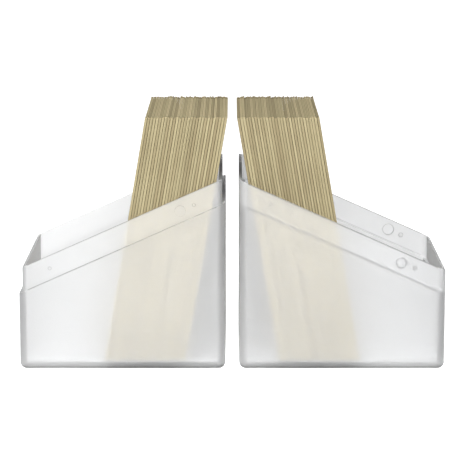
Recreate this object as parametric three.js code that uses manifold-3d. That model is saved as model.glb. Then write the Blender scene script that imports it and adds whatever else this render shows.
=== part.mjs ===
// A card case in two halves that stand open side by side, each holding a leaning deck of sleeved cards.
// The base half, at -X, has a stepped rim with a neck that rises inside it. The lid half, at +X, has a thin
// lip that slips over that neck when the lid is turned upside down on the base. Both rims lie on one slant,
// so each half has a tall wall towards the middle and a low wall away from it.
// Units are millimetres: +X to the right, +Y to the back, +Z up. The origin is on the table, midway between
// the two halves. Each half is drawn about the middle of its own underside and then moved into place.

import * as THREE from "three";
import { mergeVertices } from "three/addons/utils/BufferGeometryUtils.js";
import Module from "manifold-3d";

const wasm = await Module();
wasm.setup();

// Case
const CASE_LENGTH = 75.4;
const CASE_WIDTH = 71.6;
const CLOSED_HEIGHT = 98.7;
const BASE_RIM_HEIGHT = 45.1; // of the base's outer rim, halfway along the case
const LID_RIM_HEIGHT = CLOSED_HEIGHT - BASE_RIM_HEIGHT;
const SPLIT_SLOPE = Math.tan(THREE.MathUtils.degToRad(24)); // rise of the rims per millimetre of length
const HALF_GAP = 2.5; // from the origin to each tall wall
const WALL = 2.4;
const FLOOR = 2.4;
const CORNER_RADIUS = 3.2; // upright outside corners
const EDGE_RADIUS = 2.4; // outside edges round the underside
const INSIDE_CORNER_RADIUS = 1.2;
const INSIDE_EDGE_RADIUS = 0.8;

// Neck of the base, and lip of the lid. Insets are measured in from the case's outer faces.
const NECK_INSET = 1.25;
const NECK_HEIGHT = 9.0;
const NECK_PLAY = 0.15; // between neck and lip
const LIP_INSET = NECK_INSET - NECK_PLAY;
const LIP_DEPTH = NECK_HEIGHT + 0.2;

// Snaps on the front and back walls: a boss and two dimples on the neck, a pocket and two nubs in the lip
const SNAP_FROM_RIM = 4.25; // measured upright from the rim to the snaps' centres
const BOSS_OFFSET = 21.3; // along +X from halfway along the case
const NUB_OFFSET = 26.3; // each way from halfway along the case
const BOSS_RADIUS = 2.0;
const BOSS_HEIGHT = 0.35;
const POCKET_RADIUS = 2.25;
const POCKET_DEPTH = 0.45;
const SNAP_ROOT = 0.4; // how far a disc runs past the face that it stands on
const BALL_RADIUS = 1.6;
const NUB_HEIGHT = 0.3;
const DIMPLE_DEPTH = 0.4;

// Cards: each packet is two sleeved cards
const PACKETS_PER_DECK = 29;
const PACKET_THICKNESS = 0.96;
const PACKET_PITCH = 1.03; // along the floor
const CARD_WIDTH = 66.0;
const CARD_LENGTH = 91.0;
const LEAN = THREE.MathUtils.degToRad(9.8);
const DECK_OFFSET = 6.85; // from halfway along the case to the deck's first foot, towards the low wall
const FOOT_GAP = 0.3; // under the cards

const CORNER_SEGMENTS = 6;
const EDGE_SEGMENTS = 4;
const ROUND_SEGMENTS = 24;
const OVERCUT = 5; // how far a cutting block runs past what it cuts

// The tall wall is at +X in the base and at -X in the lid.
const TALL_AT_RIGHT = 1;
const TALL_AT_LEFT = -1;
const FRONT_AND_BACK = [-1, 1];

const shellPlastic = new THREE.MeshStandardMaterial({ color: 0xeceef0, roughness: 0.45, metalness: 0 });
const sleevePlastic = new THREE.MeshStandardMaterial({ color: 0xc4b68c, roughness: 0.55, metalness: 0 });

function toSolid(geometry) {
  const bare = geometry.clone();
  bare.deleteAttribute("normal");
  bare.deleteAttribute("uv");
  const merged = mergeVertices(bare);
  return new wasm.Manifold(
    new wasm.Mesh({
      numProp: 3,
      vertProperties: merged.attributes.position.array,
      triVerts: new Uint32Array(merged.index.array),
    }),
  );
}

function toGeometry(solid) {
  const mesh = solid.getMesh();
  const geometry = new THREE.BufferGeometry();
  geometry.setAttribute("position", new THREE.BufferAttribute(mesh.vertProperties, 3));
  geometry.setIndex(new THREE.BufferAttribute(mesh.triVerts, 1));
  geometry.computeVertexNormals();
  return geometry;
}

function roundedRectangle(length, width, radius) {
  const x = length / 2 - radius;
  const y = width / 2 - radius;
  const quarter = Math.PI / 2;
  const outline = new THREE.Shape();
  outline.absarc(x, y, radius, 0, quarter);
  outline.absarc(-x, y, radius, quarter, 2 * quarter);
  outline.absarc(-x, -y, radius, 2 * quarter, 3 * quarter);
  outline.absarc(x, -y, radius, 3 * quarter, 4 * quarter);
  return outline;
}

// An upright block from bottom to the closed height. It keeps inset clear of the case's outer faces.
function block(inset, cornerRadius, bottom, edgeRadius = 0) {
  const outline = roundedRectangle(CASE_LENGTH - 2 * inset, CASE_WIDTH - 2 * inset, cornerRadius);
  const geometry = new THREE.ExtrudeGeometry(outline, {
    depth: CLOSED_HEIGHT - bottom - 2 * edgeRadius,
    curveSegments: CORNER_SEGMENTS,
    bevelEnabled: edgeRadius > 0,
    bevelThickness: edgeRadius,
    bevelSize: edgeRadius,
    bevelOffset: -edgeRadius,
    bevelSegments: EDGE_SEGMENTS,
  });
  geometry.translate(0, 0, bottom + edgeRadius);
  return toSolid(geometry);
}

// Height at x of a slanting rim that passes through middleHeight halfway along the case.
function rimHeight(middleHeight, tall, x) {
  return middleHeight + tall * SPLIT_SLOPE * x;
}

// Everything over a slanting rim.
function over(middleHeight, tall) {
  const reach = CASE_LENGTH / 2 + OVERCUT;
  const width = CASE_WIDTH + 2 * OVERCUT;
  const side = new THREE.Shape([
    new THREE.Vector2(-reach, rimHeight(middleHeight, tall, -reach)),
    new THREE.Vector2(reach, rimHeight(middleHeight, tall, reach)),
    new THREE.Vector2(reach, CLOSED_HEIGHT + OVERCUT),
    new THREE.Vector2(-reach, CLOSED_HEIGHT + OVERCUT),
  ]);
  const geometry = new THREE.ExtrudeGeometry(side, { depth: width, bevelEnabled: false });
  geometry.rotateX(Math.PI / 2);
  geometry.translate(0, width / 2, 0);
  return toSolid(geometry);
}

function outside() {
  return block(0, CORNER_RADIUS, 0, EDGE_RADIUS);
}

function cavity() {
  return block(WALL, INSIDE_CORNER_RADIUS, FLOOR, INSIDE_EDGE_RADIUS);
}

// A disc with its axis across the wall. It reaches out past the face at inset by height, and in by SNAP_ROOT.
function disc(x, z, wall, inset, radius, height) {
  const geometry = new THREE.CylinderGeometry(radius, radius, height + SNAP_ROOT, ROUND_SEGMENTS);
  geometry.translate(x, wall * (CASE_WIDTH / 2 - inset + (height - SNAP_ROOT) / 2), z);
  return toSolid(geometry);
}

// A ball set back in the wall, so that only a cap of the given height comes in past the face at inset.
function cap(x, z, wall, inset, height) {
  const geometry = new THREE.SphereGeometry(BALL_RADIUS, ROUND_SEGMENTS, ROUND_SEGMENTS / 2);
  geometry.translate(x, wall * (CASE_WIDTH / 2 - inset + BALL_RADIUS - height), z);
  return toSolid(geometry);
}

function baseShell() {
  const snapHeight = (x) => rimHeight(BASE_RIM_HEIGHT, TALL_AT_RIGHT, x) + SNAP_FROM_RIM;
  const body = outside().subtract(over(BASE_RIM_HEIGHT, TALL_AT_RIGHT));
  const neck = block(NECK_INSET, CORNER_RADIUS - NECK_INSET, FLOOR).subtract(
    over(BASE_RIM_HEIGHT + NECK_HEIGHT, TALL_AT_RIGHT),
  );
  let shell = body.add(neck).subtract(cavity());
  for (const wall of FRONT_AND_BACK) {
    shell = shell.add(disc(BOSS_OFFSET, snapHeight(BOSS_OFFSET), wall, NECK_INSET, BOSS_RADIUS, BOSS_HEIGHT));
    for (const x of [-NUB_OFFSET, NUB_OFFSET])
      shell = shell.subtract(cap(x, snapHeight(x), wall, NECK_INSET, DIMPLE_DEPTH));
  }
  return toGeometry(shell);
}

function lidShell() {
  const snapHeight = (x) => rimHeight(LID_RIM_HEIGHT, TALL_AT_LEFT, x) - SNAP_FROM_RIM;
  const recess = block(LIP_INSET, CORNER_RADIUS - LIP_INSET, FLOOR).intersect(
    over(LID_RIM_HEIGHT - LIP_DEPTH, TALL_AT_LEFT),
  );
  const blank = outside();
  let shell = blank.subtract(over(LID_RIM_HEIGHT, TALL_AT_LEFT)).subtract(cavity()).subtract(recess);
  for (const wall of FRONT_AND_BACK) {
    shell = shell.subtract(
      disc(BOSS_OFFSET, snapHeight(BOSS_OFFSET), wall, LIP_INSET, POCKET_RADIUS, POCKET_DEPTH),
    );
    for (const x of [-NUB_OFFSET, NUB_OFFSET])
      shell = shell.add(cap(x, snapHeight(x), wall, LIP_INSET, NUB_HEIGHT).intersect(blank));
  }
  return toGeometry(shell);
}

// One packet, drawn with its low side's bottom edge on its own origin, and leaned towards the tall wall.
function packet(name, tall, index) {
  const geometry = new THREE.BoxGeometry(PACKET_THICKNESS, CARD_WIDTH, CARD_LENGTH);
  geometry.translate((tall * PACKET_THICKNESS) / 2, 0, CARD_LENGTH / 2);
  const mesh = new THREE.Mesh(geometry, sleevePlastic);
  mesh.name = `${name}_${String(index + 1).padStart(2, "0")}`;
  mesh.rotation.y = tall * LEAN;
  mesh.position.x = tall * (index * PACKET_PITCH - DECK_OFFSET);
  mesh.position.z = FLOOR + FOOT_GAP + PACKET_THICKNESS * Math.sin(LEAN);
  return mesh;
}

function half(shellName, shellGeometry, deckName, tall) {
  const group = new THREE.Group();
  const shell = new THREE.Mesh(shellGeometry, shellPlastic);
  shell.name = shellName;
  group.add(shell);
  for (let index = 0; index < PACKETS_PER_DECK; index += 1) group.add(packet(deckName, tall, index));
  group.position.x = -tall * (HALF_GAP + CASE_LENGTH / 2);
  return group;
}

const cardCase = new THREE.Group();
cardCase.add(half("base_shell", baseShell(), "base_cards", TALL_AT_RIGHT));
cardCase.add(half("lid_shell", lidShell(), "lid_cards", TALL_AT_LEFT));

export default cardCase;
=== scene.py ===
"""Looks of a frosted card case, open in two halves that each hold a leaning deck of sleeved cards."""

import math
import random

import bmesh
import bpy
from mathutils import Matrix, Vector


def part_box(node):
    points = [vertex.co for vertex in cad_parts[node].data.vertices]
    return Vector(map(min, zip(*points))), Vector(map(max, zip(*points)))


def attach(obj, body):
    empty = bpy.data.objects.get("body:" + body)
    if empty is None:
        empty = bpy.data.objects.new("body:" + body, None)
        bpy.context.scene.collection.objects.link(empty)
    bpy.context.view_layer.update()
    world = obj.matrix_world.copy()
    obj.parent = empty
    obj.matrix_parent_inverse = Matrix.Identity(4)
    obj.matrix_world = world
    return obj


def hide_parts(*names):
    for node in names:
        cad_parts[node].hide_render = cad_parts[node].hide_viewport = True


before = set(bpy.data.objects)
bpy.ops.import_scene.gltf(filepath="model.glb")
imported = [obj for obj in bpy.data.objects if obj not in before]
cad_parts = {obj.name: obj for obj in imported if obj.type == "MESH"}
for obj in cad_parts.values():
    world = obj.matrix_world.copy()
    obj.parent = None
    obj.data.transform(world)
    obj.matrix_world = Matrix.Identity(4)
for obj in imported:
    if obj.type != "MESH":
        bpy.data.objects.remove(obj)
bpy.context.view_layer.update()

MM = 0.001

# Case, as the CAD has it
BASE_LOW, BASE_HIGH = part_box("base_shell")
CASE_LENGTH = BASE_HIGH[0] - BASE_LOW[0]
CASE_WIDTH = BASE_HIGH[1] - BASE_LOW[1]
BASE_RIM_HEIGHT = 45.1 * MM  # of the outer rims, halfway along the case
LID_RIM_HEIGHT = 53.6 * MM
SPLIT_SLOPE = math.tan(math.radians(24))
WALL = 2.4 * MM
FLOOR = 2.4 * MM
CORNER_RADIUS = 3.2 * MM
EDGE_RADIUS = 2.4 * MM
INSIDE_CORNER_RADIUS = 1.2 * MM
INSIDE_EDGE_RADIUS = 0.8 * MM
LEAST_CORNER_RADIUS = 0.2 * MM  # of the inside corners, where they tighten towards the floor
RIM_CORNER_INSET = 2.0 * MM  # how far in the rims' corners keep getting tighter
RIM_RADIUS = 0.3 * MM  # rounding along the rims
NECK_INSET = 1.25 * MM
NECK_HEIGHT = 9.0 * MM
LIP_INSET = 1.1 * MM
LIP_DEPTH = 9.2 * MM
STEP_RADIUS = 0.12 * MM  # where the neck meets the ledge, and along the shoulder's edge
SHOULDER_RADIUS = 0.9 * MM  # where the lip meets the shoulder

# Snaps on the neck and in the lip
SNAP_FROM_RIM = 4.25 * MM
BOSS_OFFSET = 21.3 * MM  # along the case from its middle
NUB_OFFSET = 26.3 * MM
BOSS_RADIUS = 2.0 * MM
BOSS_HEIGHT = 0.35 * MM
POCKET_RADIUS = 2.25 * MM
POCKET_SECTION = (  # distance in from the pocket's edge, and the depth there
    (0.0, 0.1 * MM),
    (0.2 * MM, 0.35 * MM),
    (0.7 * MM, 0.45 * MM),
)
SNAP_ROOT = 0.4 * MM  # how far a snap's solid reaches past the face that it is joined to or cut from
SNAP_ROUNDING = 0.12 * MM
BALL_RADIUS = 1.6 * MM
BALL_FLAT = 0.02  # of the ball's crown, in radians
NUB_HEIGHT = 0.3 * MM
DIMPLE_DEPTH = 0.16 * MM

# Which faces of a shell count as edges and get painted shade, by the part of their normal that points across
# the wall
EDGE_ZONE_FROM = 6.0 * MM  # above the underside, where the moulded edges start
EDGE_TILT = 0.93
LID_FRONT_EDGE_TILT = 0.985  # here the snaps show through the wall, so their gentle slopes count too, and get painted dark outlines
BOTTOM_EDGE_TILTS = (-0.99, -0.3)  # and for the bottom edges, by the part that points up

# Cards
PACKETS_PER_DECK = 29
CARDS_PER_PACKET = 2
PACKET_THICKNESS = 0.96 * MM
CARD_WIDTH = 66.0 * MM
CARD_LENGTH = 91.0 * MM
LEAN = math.radians(9.8)

SLEEVE_SECTION = (  # distance in from an edge, and the share of the full thickness there
    (0.0, 0.74),
    (0.12 * MM, 0.85),
    (0.9 * MM, 0.88),
    (1.2 * MM, 0.84),
    (1.5 * MM, 0.92),
    (3.5 * MM, 1.0),
)
CORNER_EASE = 0.3 * MM  # length of a card's ends along which its sides draw in, each by half as much
MOUTH_SHARE = 0.8  # of the sleeve's thickness, taken by its open mouth
MOUTH_WIDTH_SHARE = 0.98  # and of its width
MOUTH_DEPTH = 0.5 * MM
BOW = 0.55 * MM  # of every card, across its width
PACKET_FULLNESS = (0.96, 1.0)  # how much of its room a packet fills
CARD_SHIFT = 0.2 * MM
CARD_LIFT = 0.5 * MM
TINT_SPREAD = 0.12  # between the two cards of a packet

# Plastic. Colours go from dark to light, here and below
PLASTIC_COLOURS = ((0.805, 0.81, 0.815), (0.82, 0.825, 0.83))
# A darker copy of the plastic: painted shade on the rims, ledges, shoulders, snap outlines, bottom edges and
# low end walls' insides
PAINTED_SHADE_COLOURS = ((0.47, 0.47, 0.47), (0.53, 0.53, 0.53))
CLOUD_RANGE = (0.3, 0.7)  # of the noise, between the two colours
PLASTIC_ROUGHNESS = (0.5, 0.62)
PLASTIC_IOR = 1.49
CLARITY = 0.84  # the share of light that the plastic lets through
ABSORPTION = 140  # per metre
ABSORPTION_COLOUR = (0.8, 0.8, 0.8, 1)

# Sleeves and bare card
SLEEVE_COLOURS = ((0.23, 0.19, 0.107), (0.28, 0.238, 0.137), (0.33, 0.285, 0.168))
SLEEVE_CLOUDING = (-0.6, 0.6)  # added to a card's tint
SLEEVE_ROUGHNESS = (0.65, 0.85)
SLEEVE_SPECULAR = 0.2
STOCK_COLOURS = ((0.34, 0.29, 0.17), (0.46, 0.40, 0.24), (0.58, 0.50, 0.31))
STOCK_ROUGHNESS = (0.75, 0.95)

# The world's strength at the sides, in front and behind, and overhead
SIDE_LIGHT = 0.1
AHEAD_LIGHT = 0.75
AHEAD_RANGE = (0.8, 0.99)  # of a direction's front-to-back part, where the light grows
ABOVE_LIGHT = 0.6
ABOVE_RANGE = (0.3, 0.9)  # and of its upward part

# Table
TABLE_COLOUR = (0.45, 0.45, 0.45, 1)
TABLE_ROUGHNESS = 0.9
TABLE_SHOWN_GLOW = 0.95  # as the camera sees it
TABLE_CAST_GLOW = (0.25, 0.65)  # as it lights the case, from near and from farther away
TABLE_GLOW_RANGE = (0.06, 0.3)  # distances in front of the case's middle, or behind it, where that grows
TABLE_SIZE = 6.0
TABLE_GAP = 0.05 * MM

WHITE = (1, 1, 1, 1)
LIGHT_TARGET = (0, 0, 0.04)
LIGHTS = (  # name, place, size and power
    ("key", (-0.45, -0.55, 0.35), (0.4, 0.4), 3.75),
    ("front", (0.1, -0.8, 1.1), (0.8, 0.5), 20.5),
    ("top", (-0.2, -0.1, 0.7), (0.5, 0.5), 0.5),
)
CAMERA_PLACE = (0.0001, -0.835, 0.1935)
CAMERA_DIP = math.radians(10.1)
CAMERA_LENS = 173.3  # focal length, in millimetres

SHARP_ANGLE = math.radians(35)  # edges that turn further stay sharp
CORNER_STEPS = 14  # faces round a quarter turn, or round the whole for SPIN_STEPS
EDGE_STEPS = 8
ROUND_STEPS = 3
CAP_STEPS = 8
SPIN_STEPS = 40

# Signs: of X towards a half's tall end, and of Y towards its front and back walls
TALL_AT_RIGHT = 1
TALL_AT_LEFT = -1
FRONT_AND_BACK = (-1, 1)

random.seed(29)


# ---------------------------------------------------------------- mesh helpers

def new_object(name, mesh_data):
    """A bmesh as an object in the scene, its faces turned outwards."""
    bmesh.ops.recalc_face_normals(mesh_data, faces=mesh_data.faces)
    mesh = bpy.data.meshes.new(name)
    mesh_data.to_mesh(mesh)
    mesh_data.free()
    piece = bpy.data.objects.new(name, mesh)
    bpy.context.scene.collection.objects.link(piece)
    return piece


def bridge(mesh_data, ring_a, ring_b):
    """Quads between two closed rings of as many vertices."""
    count = len(ring_a)
    for index in range(count):
        after = (index + 1) % count
        mesh_data.faces.new((ring_a[index], ring_a[after], ring_b[after], ring_b[index]))


def loft(mesh_data, rings):
    """A closed skin through rings of points, capped at both ends."""
    skins = [[mesh_data.verts.new(point) for point in ring] for ring in rings]
    for ring_a, ring_b in zip(skins, skins[1:]):
        bridge(mesh_data, ring_a, ring_b)
    mesh_data.faces.new(reversed(skins[0]))
    mesh_data.faces.new(skins[-1])


def quarter(centre, radius, start, steps):
    """Points (a, b) along a quarter circle from the angle start, counter-clockwise."""
    return [
        (centre[0] + radius * math.cos(start + turn), centre[1] + radius * math.sin(start + turn))
        for turn in (step / steps * math.pi / 2 for step in range(steps + 1))
    ]


def smooth(piece):
    """Shades a piece smoothly, except across its sharp edges."""
    mesh = piece.data
    mesh.polygons.foreach_set("use_smooth", [True] * len(mesh.polygons))
    mesh.set_sharp_from_angle(angle=SHARP_ANGLE)


def rounded_rectangle(length, width, radius):
    """Points (x, y) of a level outline about the middle, counter-clockwise."""
    x = length / 2 - radius
    y = width / 2 - radius
    corners = ((x, y), (-x, y), (-x, -y), (x, -y))
    outline = []
    for turn, corner in enumerate(corners):
        outline += quarter(corner, radius, turn * math.pi / 2, CORNER_STEPS)
    return outline


def apply_boolean(piece, tool, operation):
    """Cuts or joins the tool's shape, and removes the tool."""
    boolean = piece.modifiers.new("boolean", "BOOLEAN")
    boolean.operation = operation
    boolean.solver = "EXACT"
    boolean.object = tool
    depsgraph = bpy.context.evaluated_depsgraph_get()
    shaped = bpy.data.meshes.new_from_object(piece.evaluated_get(depsgraph))
    piece.modifiers.clear()
    piece.data = shaped
    bpy.data.objects.remove(tool)


# ---------------------------------------------------------------- shells

def wall_ring(inset, corner_radius, height, slope, on_rim):
    """A ring round the case, inset from its outer faces. It is level, or on a rim it follows the slant."""
    outline = rounded_rectangle(CASE_LENGTH - 2 * inset, CASE_WIDTH - 2 * inset, corner_radius)
    return [(x, y, height + (slope * x if on_rim else 0)) for x, y in outline]


def outside_radius(inset):
    return CORNER_RADIUS - inset


def inside_radius(inset):
    return max(INSIDE_CORNER_RADIUS - (inset - WALL), LEAST_CORNER_RADIUS)


def shell_profile(rim, steps):
    """Points (inset, height, on_rim, corner radius) up the outside, over the rim and down to the floor."""
    profile = []
    for inset, height in reversed(quarter((EDGE_RADIUS, EDGE_RADIUS), EDGE_RADIUS, math.pi, EDGE_STEPS)):
        profile.append((inset, height, False, outside_radius(inset)))
    profile += [(inset, rim + height, True, radius) for inset, height, radius in steps]
    centre = (WALL + INSIDE_EDGE_RADIUS, FLOOR + INSIDE_EDGE_RADIUS)
    for inset, height in quarter(centre, INSIDE_EDGE_RADIUS, math.pi, EDGE_STEPS):
        profile.append((inset, height, False, inside_radius(inset)))
    return profile


def rounded_edge(inset, height, radius, start):
    """Points (inset, height) of a small rounding about its centre at (inset, height), clockwise."""
    return quarter((inset, height), radius, start, ROUND_STEPS)[::-1]


def with_corner_radii(points):
    """Rim points (inset, height) with the radius that the rim's corners have there."""
    return [(inset, height, outside_radius(min(inset, RIM_CORNER_INSET))) for inset, height in points]


def base_steps():
    """The base's rim: outer edge, ledge, neck."""
    top = NECK_HEIGHT
    points = rounded_edge(RIM_RADIUS, -RIM_RADIUS, RIM_RADIUS, math.pi / 2)
    points += quarter((NECK_INSET - STEP_RADIUS, STEP_RADIUS), STEP_RADIUS, -math.pi / 2, ROUND_STEPS)
    points += rounded_edge(NECK_INSET + RIM_RADIUS, top - RIM_RADIUS, RIM_RADIUS, math.pi / 2)
    points += rounded_edge(WALL - RIM_RADIUS, top - RIM_RADIUS, RIM_RADIUS, 0)
    return with_corner_radii(points)


def lid_steps():
    """The lid's rim: outer edge, lip, shoulder."""
    points = rounded_edge(RIM_RADIUS, -RIM_RADIUS, RIM_RADIUS, math.pi / 2)
    points += rounded_edge(LIP_INSET - RIM_RADIUS, -RIM_RADIUS, RIM_RADIUS, 0)
    shoulder = (LIP_INSET + SHOULDER_RADIUS, SHOULDER_RADIUS - LIP_DEPTH)
    points += quarter(shoulder, SHOULDER_RADIUS, math.pi, EDGE_STEPS)
    points += rounded_edge(WALL - STEP_RADIUS, -STEP_RADIUS - LIP_DEPTH, STEP_RADIUS, 0)
    return with_corner_radii(points)


def shell_body(name, rim, tall, steps):
    """A hollow half of the case, without its snaps."""
    rings = [
        wall_ring(inset, radius, height, tall * SPLIT_SLOPE, on_rim)
        for inset, height, on_rim, radius in shell_profile(rim, steps)
    ]
    mesh_data = bmesh.new()
    loft(mesh_data, rings)
    return new_object(name, mesh_data)


def spin(profile, x, y, z, wall):
    """A solid turned about an axis across the wall. The profile is (radius, distance out of the face)."""
    mesh_data = bmesh.new()
    turns = [2 * math.pi * step / SPIN_STEPS for step in range(SPIN_STEPS)]
    rings = [
        [(x + radius * math.cos(turn), y + wall * out, z + radius * math.sin(turn)) for turn in turns]
        for radius, out in profile
    ]
    loft(mesh_data, rings)
    return new_object("tool", mesh_data)


def disc_profile(radius, height):
    """A disc's profile, from its root to a softly rounded end."""
    edge = quarter((radius - SNAP_ROUNDING, height - SNAP_ROUNDING), SNAP_ROUNDING, 0, ROUND_STEPS)
    return [(radius, -SNAP_ROOT)] + edge


def dish_profile(radius, section):
    """A pocket's profile, from its root to a flat end, with an edge of the section given."""
    return [(radius, -SNAP_ROOT)] + [(radius - inward, depth) for inward, depth in section]


def cap_profile(height):
    """The profile of a ball's cap, from its root to its crown, which is past the face by height."""
    centre = BALL_RADIUS - height
    widest = math.asin((centre - SNAP_ROOT) / BALL_RADIUS)
    turns = [widest + (math.pi / 2 - widest) * step / CAP_STEPS for step in range(CAP_STEPS)]
    turns.append(math.pi / 2 - BALL_FLAT)
    return [(BALL_RADIUS * math.cos(turn), centre - BALL_RADIUS * math.sin(turn)) for turn in turns]


def add_snaps(piece, rim, tall, inset, from_rim, disc, disc_operation, ball, ball_operation):
    """A disc with a ball on either side of the middle, on the front wall and on the back wall."""
    for wall in FRONT_AND_BACK:
        face = wall * (CASE_WIDTH / 2 - inset)
        height = rim + tall * SPLIT_SLOPE * BOSS_OFFSET + from_rim
        apply_boolean(piece, spin(disc, BOSS_OFFSET, face, height, wall), disc_operation)
        for x in (-NUB_OFFSET, NUB_OFFSET):
            height = rim + tall * SPLIT_SLOPE * x + from_rim
            apply_boolean(piece, spin(ball, x, face, height, wall), ball_operation)


def base_shell():
    """The half whose neck has a boss and two dimples on each long side."""
    piece = shell_body("frosted_base", BASE_RIM_HEIGHT, TALL_AT_RIGHT, base_steps())
    add_snaps(
        piece, BASE_RIM_HEIGHT, TALL_AT_RIGHT, NECK_INSET, SNAP_FROM_RIM,
        disc_profile(BOSS_RADIUS, BOSS_HEIGHT), "UNION", cap_profile(DIMPLE_DEPTH), "DIFFERENCE",
    )
    return piece


def lid_shell():
    """The half whose lip has a pocket and two nubs on each long side."""
    piece = shell_body("frosted_lid", LID_RIM_HEIGHT, TALL_AT_LEFT, lid_steps())
    add_snaps(
        piece, LID_RIM_HEIGHT, TALL_AT_LEFT, LIP_INSET, -SNAP_FROM_RIM,
        dish_profile(POCKET_RADIUS, POCKET_SECTION), "DIFFERENCE", cap_profile(NUB_HEIGHT), "UNION",
    )
    return piece


def is_shaded_moulded_edge(face, front_tilt):
    """Whether a face of the front or back wall is part of a rim, ledge or shoulder, or of a snap's side.

    front_tilt is the limit for the front wall. The innermost edges of the back wall face the light, and stay
    as pale as the wall."""
    if face.center.z < EDGE_ZONE_FROM or abs(face.center.x) > CASE_LENGTH / 2 - CORNER_RADIUS:
        return False
    if CASE_WIDTH / 2 - 2 * WALL < face.center.y < CASE_WIDTH / 2 - NECK_INSET:
        return False
    # These faces get painted shade, as up-facing rims, ledges and shoulders and the snaps' slopes catch
    # little light
    return abs(face.normal.y) < (front_tilt if face.center.y < 0 else EDGE_TILT)


def is_shaded_bottom_edge(face):
    """Whether a face is on the rounding between the walls and the underside."""
    steepest, shallowest = BOTTOM_EDGE_TILTS
    # The bottom edges face down, away from the light, and get painted shade
    return face.center.z < EDGE_RADIUS and steepest < face.normal.z < shallowest


def is_shaded_inside_low_end(face, tall):
    """Whether a face is on the inside of the low end wall, which the camera sees almost edge-on."""
    # Little light comes from the sides, so this face gets painted shade
    return tall * face.normal.x > EDGE_TILT and tall * face.center.x < 2 * WALL - CASE_LENGTH / 2


def finish_shell(piece, materials, half, tall, front_tilt):
    """Gives a shell its plastic and a darker copy with painted shade for its edges, puts it in its place,
    and lets it stand for its CAD node.
    """
    piece.data.materials.clear()
    for material in materials:
        piece.data.materials.append(material)
    for face in piece.data.polygons:
        # Faces that get little light take the darker copy: painted shade on edges, snap outlines and the low
        # end wall's inside
        takes_painted_shade = is_shaded_moulded_edge(face, front_tilt) or is_shaded_bottom_edge(face) or is_shaded_inside_low_end(face, tall)
        face.material_index = int(takes_painted_shade)
    low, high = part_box(f"{half}_shell")
    piece.data.transform(Matrix.Translation(((low[0] + high[0]) / 2, 0, 0)))
    smooth(piece)
    weighted = piece.modifiers.new("weighted", "WEIGHTED_NORMAL")
    weighted.keep_sharp = True
    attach(piece, half)
    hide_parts(f"{half}_shell")
    piece.visible_shadow = False  # the walls are thin and let the light in


# ---------------------------------------------------------------- cards

def fullness(edge_distance):
    """The share of its full thickness that a sleeve has at a distance in from an edge."""
    previous_distance, previous = SLEEVE_SECTION[0]
    for distance, share in SLEEVE_SECTION[1:]:
        if edge_distance <= distance:
            step = (edge_distance - previous_distance) / (distance - previous_distance)
            return previous + (share - previous) * step
        previous_distance, previous = distance, share
    return 1.0


def sleeve_ring(length_at, half_width, faces, outer_side):
    """The sleeve's outline at one place along its length, as (across the deck, across the card) points.

    Only the side that faces out of the packet thins towards the edges. The other lies flat on the packet's
    second card."""
    stations = [distance for distance, _ in SLEEVE_SECTION]
    across = [-half_width + distance for distance in stations]
    across += [half_width - distance for distance in reversed(stations)]
    middle = (faces[0] + faces[1]) / 2
    ring = []
    for side, line in enumerate((across, across[::-1])):
        for y in line:
            share = fullness(min(half_width - abs(y), length_at)) if side == outer_side else 1.0
            bow = BOW * (1 - (2 * y / CARD_WIDTH) ** 2)
            ring.append((middle + (faces[side] - middle) * share + bow, y))
    return ring


def add_card(mesh_data, place, tint_layer, faces, outer_side, shift, lift, tint):
    """One sleeved card: a welded sleeve, open at the top, with the card's edge just inside the mouth."""
    lengths = [distance for distance, _ in SLEEVE_SECTION] + [CARD_LENGTH - CORNER_EASE, CARD_LENGTH]
    rings = []
    for length_at in lengths:
        end = min(length_at, CARD_LENGTH - length_at)
        half_width = CARD_WIDTH / 2 - max(0, CORNER_EASE - end) / 2
        rings.append([(t, y, length_at) for t, y in sleeve_ring(length_at, half_width, faces, outer_side)])
    count = len(rings[-1]) // 2
    mouth = []
    for index, (t, y, length_at) in enumerate(rings[-1]):
        opposite = rings[-1][2 * count - 1 - index][0]
        middle = (t + opposite) / 2
        mouth.append((middle + (t - middle) * MOUTH_SHARE, y * MOUTH_WIDTH_SHARE, length_at))
    card_top = [(t, y, length_at - MOUTH_DEPTH) for t, y, length_at in mouth]
    first_vertex = len(mesh_data.verts)
    loft(mesh_data, [
        [place @ Vector((t, y + shift, s + lift)) for t, y, s in ring] for ring in rings + [mouth, card_top]
    ])
    mesh_data.verts.ensure_lookup_table()
    mesh_data.faces.ensure_lookup_table()
    for vertex in mesh_data.verts[first_vertex:]:
        vertex[tint_layer] = tint
    mesh_data.faces[-1].material_index = 1


def packet_place(node, tall):
    """Maps (across the deck, across the card, along the card) to places in the frame."""
    low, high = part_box(node)
    foot_x = low[0] if tall == TALL_AT_RIGHT else high[0]
    foot_z = low[2] + PACKET_THICKNESS * math.sin(LEAN)
    return Matrix((
        (tall * math.cos(LEAN), 0, tall * math.sin(LEAN), foot_x),
        (0, 1, 0, 0),
        (-math.sin(LEAN), 0, math.cos(LEAN), foot_z),
        (0, 0, 0, 1),
    ))


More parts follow.
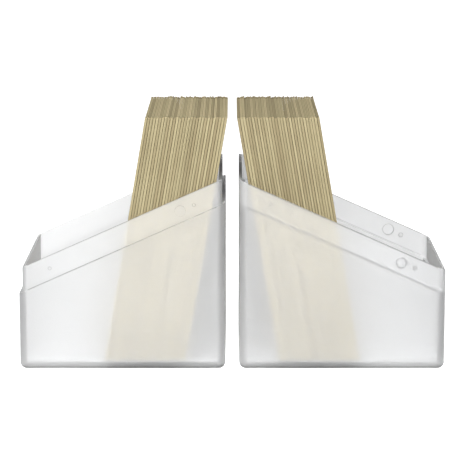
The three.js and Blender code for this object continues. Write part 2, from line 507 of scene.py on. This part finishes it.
def packet(half, tall, number, materials):
    """Sleeved cards in the place of one CAD packet."""
    node = f"{half}_cards_{number:02d}"
    place = packet_place(node, tall)
    mesh_data = bmesh.new()
    tint_layer = mesh_data.verts.layers.float.new("tint")
    tint = random.random()
    thickness = PACKET_THICKNESS * random.uniform(*PACKET_FULLNESS)
    for index in range(CARDS_PER_PACKET):
        faces = [
            PACKET_THICKNESS / 2 + thickness * (edge / CARDS_PER_PACKET - 0.5)
            for edge in (index, index + 1)
        ]
        add_card(
            mesh_data, place, tint_layer, faces,
            outer_side=index,
            shift=random.uniform(-CARD_SHIFT, CARD_SHIFT),
            lift=random.uniform(0, CARD_LIFT),
            tint=tint + random.uniform(-TINT_SPREAD, TINT_SPREAD),
        )
    piece = new_object(f"sleeved_cards_{half}_{number:02d}", mesh_data)
    smooth(piece)
    for material in materials:
        piece.data.materials.append(material)
    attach(piece, f"{half}_packet_{number:02d}")
    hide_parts(node)


# ---------------------------------------------------------------- materials

def new_material(name):
    """A node material with its Principled shader, and a place for its other nodes."""
    material = bpy.data.materials.new(name)
    material.use_nodes = True
    return material, material.node_tree.nodes["Principled BSDF"]


def add_node(owner, kind, **values):
    """A node of a material or world, whose named inputs are set to the values given."""
    node = owner.node_tree.nodes.new(kind)
    for name, value in values.items():
        node.inputs[name].default_value = value
    return node


def link(owner, source, target):
    owner.node_tree.links.new(source, target)


def coordinates(owner, kind):
    return add_node(owner, "ShaderNodeTexCoord").outputs[kind]


def separated(owner, source):
    """The x, y and z of a place or direction, as the outputs "X", "Y" and "Z"."""
    node = add_node(owner, "ShaderNodeSeparateXYZ")
    link(owner, source, node.inputs["Vector"])
    return node.outputs


def calculated(owner, operation, *sources):
    """A Math node's result."""
    node = add_node(owner, "ShaderNodeMath")
    node.operation = operation
    for source, socket in zip(sources, node.inputs):
        link(owner, source, socket)
    return node.outputs["Value"]


def spread(owner, source, results, between=(0, 1), interpolation="LINEAR"):
    """Maps the range between two values onto the two results."""
    node = add_node(owner, "ShaderNodeMapRange")
    node.interpolation_type = interpolation
    node.inputs["From Min"].default_value, node.inputs["From Max"].default_value = between
    node.inputs["To Min"].default_value, node.inputs["To Max"].default_value = results
    link(owner, source, node.inputs["Value"])
    return node.outputs["Result"]


def noise(material, scale, detail, roughness=0.5):
    """Noise in the object's own coordinates. The scale is in patches per metre."""
    pattern = add_node(material, "ShaderNodeTexNoise", Scale=scale, Detail=detail, Roughness=roughness)
    link(material, coordinates(material, "Object"), pattern.inputs["Vector"])
    return pattern.outputs["Fac"]


def ramp(material, source, colours, between=(0, 1)):
    """A colour ramp, its colours evenly spaced between two values of the source."""
    node = add_node(material, "ShaderNodeValToRGB")
    link(material, source, node.inputs["Fac"])
    elements = node.color_ramp.elements
    start, end = between
    for index in range(1, len(colours) - 1):
        elements.new(index / (len(colours) - 1))
    for index, (element, colour) in enumerate(zip(elements, colours)):
        element.position = start + (end - start) * index / (len(colours) - 1)
        element.color = (*colour, 1)
    return node.outputs["Color"]


def bump(material, shader, source, strength, distance):
    """Raises the shader's surface where the source is high."""
    node = add_node(material, "ShaderNodeBump", Strength=strength, Distance=distance)
    link(material, source, node.inputs["Height"])
    link(material, node.outputs["Normal"], shader.inputs["Normal"])


def added(owner, first, second):
    """The light of two shaders together."""
    node = add_node(owner, "ShaderNodeAddShader")
    link(owner, first, node.inputs[0])
    link(owner, second, node.inputs[1])
    return node.outputs["Shader"]


def finish_surface(owner, output, cast, shown):
    """Uses one shader for the light that reaches the case, and the other for what the camera sees."""
    node = add_node(owner, "ShaderNodeMixShader")
    path = add_node(owner, "ShaderNodeLightPath")
    link(owner, path.outputs["Is Camera Ray"], node.inputs["Fac"])
    link(owner, cast, node.inputs[1])
    link(owner, shown, node.inputs[2])
    link(owner, node.outputs["Shader"], owner.node_tree.nodes[output].inputs["Surface"])


def card_tint(material):
    """The tint that add_card gives to each card."""
    tint = add_node(material, "ShaderNodeAttribute")
    tint.attribute_name = "tint"
    return tint.outputs["Fac"]


def frosted_plastic(name, colours):
    """Milky polypropylene with a fine moulded grain, clouded between two colours."""
    material, shader = new_material(name)
    shader.inputs["Transmission Weight"].default_value = CLARITY
    shader.inputs["IOR"].default_value = PLASTIC_IOR
    cloud = noise(material, scale=60, detail=3)
    link(material, ramp(material, cloud, colours, CLOUD_RANGE), shader.inputs["Base Color"])
    grain = noise(material, scale=2200, detail=2)
    link(material, spread(material, grain, PLASTIC_ROUGHNESS), shader.inputs["Roughness"])
    bump(material, shader, grain, strength=0.25, distance=0.1 * MM)
    depth = add_node(material, "ShaderNodeVolumeAbsorption", Color=ABSORPTION_COLOUR, Density=ABSORPTION)
    link(material, depth.outputs["Volume"], material.node_tree.nodes["Material Output"].inputs["Volume"])
    return material


def card_sleeve():
    """Opaque tan sleeve film with a fine matte texture. Each card has its own tint, a little clouded."""
    material, shader = new_material("card_sleeve")
    clouds = spread(material, noise(material, scale=55, detail=6, roughness=0.65), SLEEVE_CLOUDING)
    clouded_tint = calculated(material, "ADD", card_tint(material), clouds)
    link(material, ramp(material, clouded_tint, SLEEVE_COLOURS), shader.inputs["Base Color"])
    shader.inputs["Specular IOR Level"].default_value = SLEEVE_SPECULAR
    grain = noise(material, scale=1800, detail=3)
    link(material, spread(material, grain, SLEEVE_ROUGHNESS), shader.inputs["Roughness"])
    bump(material, shader, grain, strength=0.2, distance=0.06 * MM)
    return material


def card_stock():
    """The bare edge of a card: fibrous board. Each card has its own tint."""
    material, shader = new_material("card_stock")
    link(material, ramp(material, card_tint(material), STOCK_COLOURS), shader.inputs["Base Color"])
    fibres = noise(material, scale=900, detail=4)
    link(material, spread(material, fibres, STOCK_ROUGHNESS), shader.inputs["Roughness"])
    bump(material, shader, fibres, strength=0.3, distance=0.1 * MM)
    return material


def glowing_white():
    """A white surface that glows. What it casts on the case grows with the distance along Y."""
    material, shader = new_material("white_table")
    shader.inputs["Base Color"].default_value = TABLE_COLOUR
    shader.inputs["Roughness"].default_value = TABLE_ROUGHNESS
    shown_glow = add_node(material, "ShaderNodeEmission", Strength=TABLE_SHOWN_GLOW).outputs["Emission"]
    cast_glow = add_node(material, "ShaderNodeEmission")
    place = separated(material, coordinates(material, "Object"))
    distance = calculated(material, "ABSOLUTE", place["Y"])
    strength = spread(material, distance, TABLE_CAST_GLOW, TABLE_GLOW_RANGE, "SMOOTHSTEP")
    link(material, strength, cast_glow.inputs["Strength"])
    finish_surface(
        material, "Material Output",
        cast=added(material, shader.outputs["BSDF"], cast_glow.outputs["Emission"]),
        shown=added(material, shader.outputs["BSDF"], shown_glow),
    )
    return material


# ---------------------------------------------------------------- studio

def area_light(name, place, size, power):
    """A rectangular light that faces the case."""
    data = bpy.data.lights.new(name, "AREA")
    data.shape = "RECTANGLE"
    data.size, data.size_y = size
    data.energy = power
    light = bpy.data.objects.new(name, data)
    light.location = place
    light.rotation_euler = (Vector(LIGHT_TARGET) - Vector(place)).to_track_quat("-Z", "Y").to_euler()
    bpy.context.scene.collection.objects.link(light)


def white_world():
    """White behind the case. Its light comes from in front, behind and above, and little from the sides."""
    world = bpy.data.worlds.new("studio")
    bpy.context.scene.world = world
    world.use_nodes = True
    direction = separated(world, coordinates(world, "Generated"))
    frontness = calculated(world, "ABSOLUTE", direction["Y"])
    ahead = spread(world, frontness, (SIDE_LIGHT, AHEAD_LIGHT), AHEAD_RANGE, "SMOOTHSTEP")
    above = spread(world, direction["Z"], (SIDE_LIGHT, ABOVE_LIGHT), ABOVE_RANGE, "SMOOTHSTEP")
    fill = add_node(world, "ShaderNodeBackground")
    link(world, calculated(world, "MAXIMUM", ahead, above), fill.inputs["Strength"])
    backdrop = world.node_tree.nodes["Background"]
    backdrop.inputs["Color"].default_value = WHITE
    finish_surface(
        world, "World Output",
        cast=fill.outputs["Background"],
        shown=backdrop.outputs["Background"],
    )


def white_table():
    """A white table. It lights the case from in front and behind, and is darker beside and under it."""
    mesh_data = bmesh.new()
    bmesh.ops.create_grid(mesh_data, x_segments=1, y_segments=1, size=TABLE_SIZE / 2)
    floor = new_object("table", mesh_data)
    floor.location.z = -TABLE_GAP
    floor.data.materials.append(glowing_white())


def studio():
    """The white surroundings, the lights, and a camera in front of the case that looks slightly down."""
    scene = bpy.context.scene
    scene.view_settings.view_transform = "Standard"
    white_world()
    white_table()
    for name, place, size, power in LIGHTS:
        area_light(name, place, size, power)
    camera_data = bpy.data.cameras.new("camera")
    camera_data.lens = CAMERA_LENS
    camera = bpy.data.objects.new("camera", camera_data)
    camera.location = CAMERA_PLACE
    camera.rotation_euler = (math.pi / 2 - CAMERA_DIP, 0, 0)
    scene.collection.objects.link(camera)
    scene.camera = camera


# ---------------------------------------------------------------- the object

def build():
    """Both shells, and the packets of both decks."""
    plastic = (
        frosted_plastic("frosted_plastic", PLASTIC_COLOURS),
        # a darker copy of the plastic, painted shade for the faces that get little light
        frosted_plastic("frosted_plastic_painted_shade", PAINTED_SHADE_COLOURS),
    )
    card_materials = (card_sleeve(), card_stock())
    finish_shell(base_shell(), plastic, "base", TALL_AT_RIGHT, EDGE_TILT)
    finish_shell(lid_shell(), plastic, "lid", TALL_AT_LEFT, LID_FRONT_EDGE_TILT)
    for half, tall in (("base", TALL_AT_RIGHT), ("lid", TALL_AT_LEFT)):
        for number in range(1, PACKETS_PER_DECK + 1):
            packet(half, tall, number, card_materials)


build()
studio()
